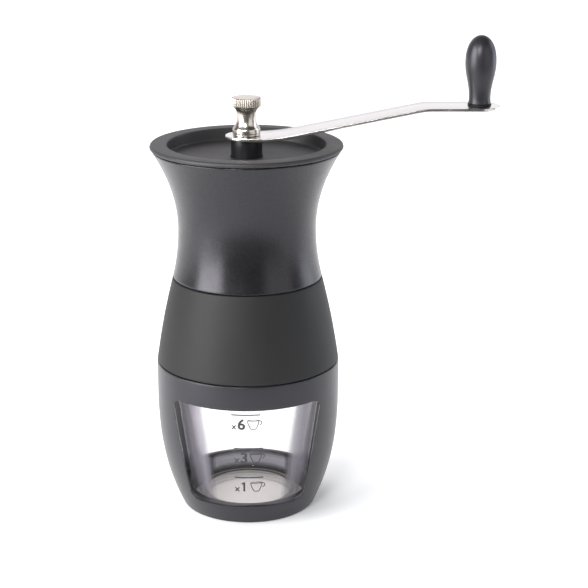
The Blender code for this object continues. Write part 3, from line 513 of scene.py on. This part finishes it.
def letters(model, text, height, left, base, bold=0.0):
    """Filled numerals standing in the XZ plane."""
    words = bpy.data.curves.new(text, "FONT")
    words.body = text
    words.size = height / 0.729
    words.offset = bold
    words.resolution_u = 6
    guide = bpy.data.objects.new(text, words)
    bpy.context.scene.collection.objects.link(guide)
    bpy.context.view_layer.update()
    flat = bpy.data.meshes.new_from_object(guide.evaluated_get(bpy.context.evaluated_depsgraph_get()))
    bpy.data.objects.remove(guide)
    flat.transform(Matrix.Translation((left, 0, base)) @ Matrix.Rotation(math.pi / 2, 4, "X"))
    model.from_mesh(flat)


line_half, line_width, figure_width = 6.8 * MM, 0.62 * MM, 0.9 * MM
figure_height, cross_height, cup_height = 5.5 * MM, 3.2 * MM, 4.6 * MM
cup_width, rim_width, rim_slope = 0.42 * MM, 0.34 * MM, 1.2 * MM
bowl_side = [(0.0, 0.0), (0.25 * MM, 1.6 * MM), (0.9 * MM, 3.2 * MM)]
bowl_foot = 1.6 * MM
ink = bmesh.new()
for count, line_z, shift in ((6, 55.6 * MM, -0.3 * MM), (3, 37.8 * MM, 0.8 * MM), (1, 22.2 * MM, 0.9 * MM)):
    stroke(ink, [(shift + x, line_z) for x in spread(-line_half, line_half, 9)], line_width)
    base = line_z - 7.5 * MM
    if count == 1:
        stem = shift - 2.3 * MM
        stroke(ink, [(stem - 1.2 * MM, base + 3.9 * MM), (stem, base + 4.6 * MM)], 0.75 * MM)
        stroke(ink, [(stem, base + 4.95 * MM), (stem, base)], figure_width)
    else:
        letters(ink, str(count), figure_height, shift - 4.0 * MM, base, 0.2 * MM)
    letters(ink, "x", cross_height, shift - 6.7 * MM, base, 0.1 * MM)
    rim = base + cup_height
    left, right = shift + 0.8 * MM, shift + 6.2 * MM
    bowl = [(left + inset, rim - drop) for inset, drop in bowl_side]
    bowl += [(left + bowl_foot, base), (right - bowl_foot, base)]
    bowl += [(right - inset, rim - drop) for inset, drop in reversed(bowl_side)]
    stroke(ink, bowl, cup_width)
    for rise in (0.35 * MM, -0.3 * MM):
        lip = [(left, rim), (left + rim_slope, rim + rise), (right - rim_slope, rim + rise), (right, rim)]
        stroke(ink, lip, rim_width)
    ear = [(right - 0.1 * MM + 1.45 * MM * math.sin(turn), rim - 1.25 * MM + 1.15 * MM * math.cos(turn))
           for turn in spread(0.1, 2.9, 9)]
    stroke(ink, ear, cup_width)
bmesh.ops.remove_doubles(ink, verts=ink.verts, dist=1e-6)
flat_faces = ink.faces[:]
rims = [edge for edge in ink.edges if len(edge.link_faces) == 1]
raised = {vert: ink.verts.new((vert.co.x, -ink_thick, vert.co.z)) for vert in ink.verts[:]}
for face in flat_faces:
    ink.faces.new([raised[vert] for vert in reversed(face.verts)])
for edge in rims:
    first, last = edge.verts
    ink.faces.new((first, last, raised[last], raised[first]))
bmesh.ops.triangulate(ink, faces=ink.faces)
bmesh.ops.recalc_face_normals(ink, faces=ink.faces)
for vert in ink.verts:
    reach = jar_radius(vert.co.z) + ink_lift - vert.co.y
    turn = vert.co.x / reach
    vert.co.x, vert.co.y = reach * math.sin(turn), -reach * math.cos(turn)
ink_mesh = bpy.data.meshes.new("jar_scale")
ink.to_mesh(ink_mesh)
ink.free()
new_piece("jar_scale", ink_mesh, ink_black, "receptacle", None)

# ---------------------------------------------------------------------------
# Upper shell: the hourglass casing, one black moulding with a satin gloss. It
# screws on the jar's neck and carries the grinding gear on a web inside.
# ---------------------------------------------------------------------------
shell_low, shell_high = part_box("upper_shell")
grip_low, grip_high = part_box("grip_sleeve")
fit = 0.3 * MM
seam_z = grip_high.z + fit
mouth_z = shell_high.z
waist_z = seam_z + 23.2 * MM
casing_neck_r, waist_r, mouth_r = 35.25 * MM, 32.4 * MM, 44.2 * MM
shell_wall = 2.4 * MM
web_hole_r = 20.8 * MM
web_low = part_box("burr_carrier")[1].z + fit
web_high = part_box("hopper")[0].z - fit


def grip_radius(z):
    share = (z - frame_top) / (seam_z - frame_top)
    low = frame_radius(frame_top)
    return low + (casing_neck_r - low) * share + 0.6 * MM * math.sin(math.pi * share)


def waist_radius(z):
    if z > waist_z:
        return waist_r + (mouth_r - waist_r) * ((z - waist_z) / (mouth_z - waist_z)) ** 2
    return waist_r + (casing_neck_r - waist_r) * ((waist_z - z) / (waist_z - seam_z)) ** 2


def under_grip(z):
    return grip_radius(z) - 2.0 * MM


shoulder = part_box("seal_ring")[1].z + fit
shell_outline = [(waist_radius(mouth_z), mouth_z, 0.7 * MM)]
shell_outline += [(waist_radius(z), z) for z in reversed(spread(seam_z + 1.5 * MM, mouth_z - 1.5 * MM, 38))]
shell_outline += [(casing_neck_r, seam_z, 0.5 * MM), (under_grip(seam_z - fit), seam_z)]
shell_outline += [(under_grip(z), z) for z in reversed(spread(shell_low.z, seam_z - 4 * MM, 8))]
socket_r, socket_bore = neck_r + 0.5 * MM, neck_bore + 0.4 * MM
shell_outline += [(socket_r, shell_low.z), (socket_r, shoulder)]
shell_outline += [(socket_bore, shoulder), (socket_bore, shoulder + 2.5 * MM)]
shell_outline += [(under_grip(z) - shell_wall, z) for z in spread(shoulder + 3.5 * MM, seam_z, 8)]
shell_outline += [(waist_radius(web_low) - shell_wall, web_low), (web_hole_r, web_low, 0.3 * MM)]
shell_outline += [(web_hole_r, web_high, 0.3 * MM), (waist_radius(web_high) - shell_wall, web_high)]
hopper_heights = spread(web_high + 2 * MM, mouth_z - 1.5 * MM, 20)
shell_outline += [(waist_radius(z) - shell_wall, z) for z in hopper_heights]
shell_outline += [(waist_radius(mouth_z) - shell_wall, mouth_z, 0.5 * MM)]
shell_black = moulded_black("shell_black", (0.006, 0.006, 0.007), (0.010, 0.010, 0.011), 0.27, 0.000012)
shell_mesh = turned_mesh("upper_casing", shell_outline, 176)
new_piece("upper_casing", shell_mesh, shell_black, "housing", "upper_shell")

# ---------------------------------------------------------------------------
# Grip sleeve: a soft moulded band, stretched over the casing's lower half.
# ---------------------------------------------------------------------------
grip_thick = 1.7 * MM
grip_outline = [(grip_radius(grip_high.z), grip_high.z, 0.7 * MM)]
grip_heights = spread(grip_low.z + 1.5 * MM, grip_high.z - 1.5 * MM, 22)
grip_outline += [(grip_radius(z), z) for z in reversed(grip_heights)]
grip_outline += [(grip_radius(grip_low.z), grip_low.z, 0.7 * MM)]
grip_outline += [(grip_radius(z) - grip_thick, z) for z in spread(grip_low.z, grip_high.z, 10)]
soft_band, soft_shader, soft_surface = new_finish("soft_band", Specular_IOR_Level=0.32)
pores = soft_surface.noise(3400.0, 3.0, 0.7)
smears = soft_surface.stretched((1.0, 1.0, 0.6)).noise(60.0, 5.0, 0.6)
soft_grey = smears.between((0.009, 0.009, 0.0095), (0.014, 0.014, 0.0145))
soft_surface.feed(soft_shader.inputs["Base Color"], soft_grey)
soft_surface.feed(soft_shader.inputs["Roughness"], 0.56 + (smears - 0.5) * 0.12 + (pores - 0.5) * 0.1)
bump(soft_surface, soft_shader, pores, 0.00003, 0.6)
grip_mesh = turned_mesh("soft_grip", grip_outline, 160)
new_piece("soft_grip", grip_mesh, soft_band, "housing", "grip_sleeve")

# ---------------------------------------------------------------------------
# Lid: a flat black moulding with a broad rim and a sunk centre that plugs the
# hopper's mouth. The crank's collar comes up through its middle.
# ---------------------------------------------------------------------------
lid_low, lid_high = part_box("lid")
collar_low, collar_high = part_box("shaft_collar")
lid_r = lid_high.x
rim_inner = 36.9 * MM
rim_bottom = mouth_z + fit
lid_floor = lid_low.z + 2.0 * MM
lid_hole = collar_high.x + 0.3 * MM
lid_outline = [(lid_r - 0.4 * MM, lid_high.z, 0.9 * MM), (lid_r, lid_high.z - 1.5 * MM, 0.7 * MM)]
lid_outline += [(lid_r - 0.9 * MM, rim_bottom, 0.3 * MM)]
plug_r = rim_inner + 1.7 * MM
lid_outline += [(plug_r, rim_bottom, 0.3 * MM), (plug_r, lid_low.z, 0.7 * MM)]
lid_outline += [(lid_hole, lid_low.z, 0.1 * MM), (lid_hole, lid_floor, 0.1 * MM)]
lid_outline += [(0.5 * rim_inner, lid_floor), (rim_inner - 0.4 * MM, lid_floor, 1.3 * MM)]
lid_outline += [(rim_inner, lid_high.z, 0.7 * MM)]
lid_black = moulded_black("lid_black", (0.024, 0.023, 0.023), (0.032, 0.031, 0.030), 0.50, 0.00004)
lid_mesh = turned_mesh("round_lid", lid_outline, 160)
new_piece("round_lid", lid_mesh, lid_black, "lid_body", "lid")

# ---------------------------------------------------------------------------
# Shaft collar: a black turned sleeve pressed on the drive shaft.
# ---------------------------------------------------------------------------
shaft_r = 3.0 * MM
collar_outline = [(collar_high.x, collar_high.z, 0.5 * MM), (collar_high.x, collar_low.z, 0.5 * MM)]
collar_outline += [(shaft_r + fit, collar_low.z), (shaft_r + fit, collar_high.z)]
collar_black = moulded_black("collar_black", (0.008, 0.008, 0.009), (0.013, 0.013, 0.014), 0.30, 0.00001)
collar_mesh = turned_mesh("black_collar", collar_outline, 96)
new_piece("black_collar", collar_mesh, collar_black, "drive", "shaft_collar")

# ---------------------------------------------------------------------------
# Crank arm: a strip of stainless steel, blanked with round ends, tumbled to
# ease its edges, bent twice, polished along its length and pierced at its ends.
# ---------------------------------------------------------------------------
arm_low, arm_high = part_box("crank_arm")
arm_width = arm_high.y - arm_low.y
arm_thick = 1.5 * MM
arm_reach = arm_high.x - arm_width / 2
arm_hub_top = arm_low.z + arm_thick
arm_rise = arm_high.z - arm_hub_top
bend_one, bend_one_spread = 13.0 * MM, 7.5 * MM
bend_two, bend_two_spread = 82.0 * MM, 3.5 * MM


def bend_share(x, middle, reach):
    """How much of a bend's slope is gained up to x, summed along the strip."""
    from_start = min(max(x - middle + reach, 0.0), 2 * reach)
    return from_start ** 2 / (4 * reach) + max(x - middle - reach, 0.0)


def arm_height(x):
    gained = bend_share(x, bend_one, bend_one_spread) - bend_share(x, bend_two, bend_two_spread)
    return arm_hub_top + arm_rise * gained / (bend_two - bend_one)


def round_end(centre_x, radius, turns):
    """Points of an arc round a point on the arm's middle line."""
    return [(centre_x + radius * math.cos(turn), radius * math.sin(turn)) for turn in turns]


arm_shape = bmesh.new()
half = arm_width / 2
arm_points = round_end(0.0, half, spread(math.pi / 2, 1.5 * math.pi, 33))
arm_points += round_end(arm_reach, half, spread(-math.pi / 2, math.pi / 2, 33))
flat_arm = slab_mesh("flat_arm", arm_points, -arm_thick, 0)
arm_shape.from_mesh(flat_arm)
sharp_edges = [edge for edge in arm_shape.edges if abs(edge.verts[0].co.z - edge.verts[1].co.z) < 1e-6]
bmesh.ops.bevel(arm_shape, geom=sharp_edges, offset=0.3 * MM, segments=3, profile=0.5, affect="EDGES")
cuts = spread(bend_one - bend_one_spread, bend_one + bend_one_spread, 13)
cuts += spread(bend_two - bend_two_spread, bend_two + bend_two_spread, 11)
for x in cuts:
    everything = arm_shape.verts[:] + arm_shape.edges[:] + arm_shape.faces[:]
    bmesh.ops.bisect_plane(arm_shape, geom=everything, dist=1e-7, plane_co=(x, 0, 0), plane_no=(1, 0, 0))
arm_mesh = bpy.data.meshes.new("arm")
arm_shape.to_mesh(arm_mesh)
arm_shape.free()
square = 2.8 * MM
pin_bore = 2.5 * MM
punch = 10 * MM
square_points = [(-square, -square), (square, -square), (square, square), (-square, square)]
hub_hole = slab_mesh("hub_hole", square_points, -punch, punch)
pin_hole_points = round_end(arm_reach, pin_bore, spread(0, math.tau, 33)[:-1])
pin_hole = slab_mesh("pin_hole", pin_hole_points, -punch, punch)
arm_mesh = cut_mesh("arm", arm_mesh, [hub_hole, pin_hole])
for vert in arm_mesh.vertices:
    vert.co.z += arm_height(vert.co.x)
bright_steel, steel_shader, steel_surface = new_finish("bright_steel", Metallic=1.0)
brushing = steel_surface.stretched((14.0, 700.0, 700.0)).noise(6.0, 5.0, 0.6)
smudges = steel_surface.noise(70.0, 4.0, 0.55)
steel_colour = brushing.between((0.74, 0.72, 0.69), (0.90, 0.88, 0.85))
steel_surface.feed(steel_shader.inputs["Base Color"], steel_colour)
steel_surface.feed(steel_shader.inputs["Roughness"], 0.20 + (smudges - 0.5) * 0.14 + brushing * 0.1)
bump(steel_surface, steel_shader, brushing, 0.00001, 0.35)
new_piece("steel_arm", arm_mesh, bright_steel, "crank", "crank_arm")

# ---------------------------------------------------------------------------
# Crank nut: turned brass, nickel plated, with a straight knurl round its head
# and the fine rings of the turning tool left on its waisted neck.
# ---------------------------------------------------------------------------
nut_low, nut_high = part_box("crank_nut")
nut_r = nut_high.x
thread_bore = 2.8 * MM
bore_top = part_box("drive_shaft")[1].z + 0.8 * MM
head_low = nut_high.z - 4.1 * MM
knurls = 40
knurl_depth = 0.42 * MM


def knurl(turn, radius, height):
    """Straight grooves round the head, fading out at its edges."""
    if radius < nut_r - 0.7 * MM or height < head_low - 0.05 * MM:
        return 0.0
    ridge = abs((turn * knurls / math.tau) % 1.0 - 0.5) * 2
    return -knurl_depth * (1 - ridge) ** 2


nut_foot_r = 6.4 * MM
neck_turning = [(6.0, -0.1), (5.85, -0.5), (5.3, -0.95), (4.9, -1.6), (4.68, -2.5)]
neck_turning += [(4.56, -3.6), (4.52, -4.8), (4.56, -6.1), (4.72, -7.3), (5.02, -8.3)]
neck_turning += [(5.5, -9.2), (6.05, -9.9), (6.35, -10.4), (6.4, -10.9)]
nut_outline = [(0, nut_high.z), (nut_r * 0.6, nut_high.z), (nut_r, nut_high.z, 0.5 * MM)]
nut_outline += [(nut_r, head_low, 0.4 * MM)]
nut_outline += [(radius * MM, head_low + rise * MM) for radius, rise in neck_turning]
nut_outline += [(nut_foot_r, nut_low.z), (thread_bore, nut_low.z)]
nut_outline += [(thread_bore, bore_top), (0, bore_top)]


def turned_metal(name, dark, light, roughness, rings_per_metre, groove_depth):
    """Metal with fine turning rings round its axis and a few darker smudges."""
    finish, shader, surface = new_finish(name, Metallic=1.0)
    rings = surface.stretched((0.02, 0.02, 1.0)).noise(rings_per_metre, 4.0, 0.7)
    tarnish = surface.noise(240.0, 4.0, 0.6)
    surface.feed(shader.inputs["Base Color"], tarnish.between(light, dark))
    surface.feed(shader.inputs["Roughness"], roughness + (tarnish - 0.5) * 0.16 + (rings - 0.5) * 0.1)
    bump(surface, shader, rings, groove_depth, 0.6)
    return finish


nickel = turned_metal("nickel_plate", (0.56, 0.50, 0.43), (0.76, 0.71, 0.65), 0.26, 2600.0, 0.00003)
nut_mesh = turned_mesh("knurled_nut", nut_outline, knurls * 8, False, wave=knurl, sharp=50)
new_piece("knurled_nut", nut_mesh, nickel, "crank", "crank_nut")


def washer(name, node, body, finish, bore, centre=(0, 0), soft=0.12 * MM):
    """A flat ring that stands for a node, as wide and thick as the node."""
    low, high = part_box(node)
    rim = (high.y - low.y) / 2
    outline = [(rim, high.z, soft), (rim, low.z, soft), (bore, low.z, soft), (bore, high.z, soft)]
    new_piece(name, turned_mesh(name, outline, 96, centre=centre), finish, body, node)


washer("plated_washer", "nut_washer", "crank", nickel, shaft_r + fit)

# ---------------------------------------------------------------------------
# Knob: an egg shaped black moulding that spins on a dome headed rivet through
# the arm's end, with a thin dark washer between them.
# ---------------------------------------------------------------------------
knob_low, knob_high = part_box("knob")
knob_r = (knob_high.y - knob_low.y) / 2
knob_waist_r = 4.95 * MM
foot_share, belly_share = 0.09, 0.6
knob_height = knob_high.z - knob_low.z
pin_low, pin_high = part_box("knob_pin")
knob_axis = (arm_reach, 0)


def knob_radius(share):
    """Radius of the egg; share runs from 0 at the knob's bottom to 1 at its top."""
    if share < foot_share:
        return knob_waist_r + 0.3 * MM * (1 - share / foot_share) ** 2
    if share < belly_share:
        swell = math.cos(math.pi * (share - foot_share) / (belly_share - foot_share))
        return knob_waist_r + (knob_r - knob_waist_r) * (0.5 - 0.5 * swell)
    return knob_r * (1 - ((share - belly_share) / (1 - belly_share)) ** 2.35) ** 0.5


crown = reversed(spread(0, math.pi / 2, 18)[:-1])
knob_shares = [1 - (1 - belly_share) * (1 - math.sin(turn)) for turn in crown]
knob_shares += list(reversed(spread(0.02, 0.58, 28)))
clip_low, clip_top = knob_low.z + 12.6 * MM, knob_low.z + 16.6 * MM
clip_r = pin_bore + 0.6 * MM
knob_outline = [(0, knob_high.z)]
knob_outline += [(knob_radius(share), knob_low.z + knob_height * share) for share in knob_shares]
knob_outline += [(knob_radius(0), knob_low.z, 0.5 * MM), (pin_bore, knob_low.z)]
knob_outline += [(pin_bore, clip_low), (clip_r, clip_low), (clip_r, clip_top), (0, clip_top)]
knob_black = moulded_black("knob_black", (0.014, 0.014, 0.016), (0.021, 0.021, 0.024), 0.35, 0.00001)
knob_mesh = turned_mesh("egg_knob", knob_outline, 112, False, knob_axis)
new_piece("egg_knob", knob_mesh, knob_black, "knob_body", "knob")
pin_r = 2.2 * MM
pin_head_r = (pin_high.y - pin_low.y) / 2
pin_head_top = pin_low.z + 1.5 * MM
barb = pin_high.z - 2.6 * MM
pin_outline = [(0, pin_high.z), (pin_r, pin_high.z, 0.3 * MM), (pin_r + 0.4 * MM, barb)]
pin_outline += [(pin_r, barb - 0.1 * MM), (pin_r, pin_head_top)]
pin_outline += [(pin_head_r, pin_head_top, 0.15 * MM)]
dome_rim, dome_depth = pin_head_top - 0.2 * MM, 1.3 * MM
pin_outline += [(pin_head_r * math.cos(turn), dome_rim - dome_depth * math.sin(turn))
                for turn in spread(0.05, math.pi / 2 - 0.08, 10)]
pin_outline += [(0, pin_low.z)]
rivet_steel = turned_metal("rivet_steel", (0.26, 0.25, 0.24), (0.42, 0.40, 0.38), 0.22, 1500.0, 0.00001)
rivet_mesh = turned_mesh("knob_rivet", pin_outline, 64, False, knob_axis)
new_piece("knob_rivet", rivet_mesh, rivet_steel, "crank", "knob_pin")
washer("dark_washer", "knob_washer", "crank", soft_band, pin_bore, knob_axis, 0.1 * MM)

# ---------------------------------------------------------------------------
# Grinding gear and fittings inside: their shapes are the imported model's own.
# Ceramic burrs, nylon mouldings, brass bushes, steel shaft, screws and spring.
# ---------------------------------------------------------------------------
ceramic, ceramic_shader, ceramic_surface = new_finish("burr_ceramic", Roughness=0.5)
ceramic_flecks = ceramic_surface.noise(900.0, 5.0, 0.7)
ceramic_white = ceramic_flecks.between((0.62, 0.60, 0.55), (0.80, 0.78, 0.74))
ceramic_surface.feed(ceramic_shader.inputs["Base Color"], ceramic_white)
ceramic_surface.feed(ceramic_shader.inputs["Roughness"], 0.38 + ceramic_flecks * 0.25)
bump(ceramic_surface, ceramic_shader, ceramic_flecks, 0.00006, 0.6)
nylon = moulded_black("nylon", (0.03, 0.03, 0.032), (0.05, 0.05, 0.053), 0.48, 0.00003)
seal_rubber = moulded_black("seal_rubber", (0.05, 0.05, 0.052), (0.08, 0.08, 0.083), 0.7, 0.00004)
brass = turned_metal("bush_brass", (0.45, 0.30, 0.11), (0.72, 0.52, 0.24), 0.26, 1800.0, 0.00002)
plain_steel = turned_metal("plain_steel", (0.40, 0.40, 0.41), (0.62, 0.62, 0.62), 0.28, 2200.0, 0.00002)
finishes = {"hopper": nylon, "burr_carrier": nylon, "burr_clamp_ring": plain_steel, "burr_driver": nylon}
finishes |= {"outer_burr": ceramic, "inner_burr": ceramic, "adjuster_wheel": nylon, "adjuster_nut": brass}
finishes |= {"upper_bush": brass, "lower_bush": brass, "seal_ring": seal_rubber, "drive_shaft": plain_steel}
finishes |= {"shaft_clip": plain_steel, "spring": plain_steel, "spring_washer": plain_steel}
finishes |= {"thrust_washer": plain_steel}
finishes |= {f"{kind}_screw_{index}": plain_steel for kind in ("carrier", "clamp") for index in (1, 2, 3)}
for node, finish in finishes.items():
    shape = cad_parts[node]
    shape.data.materials.clear()
    shape.data.materials.append(finish)
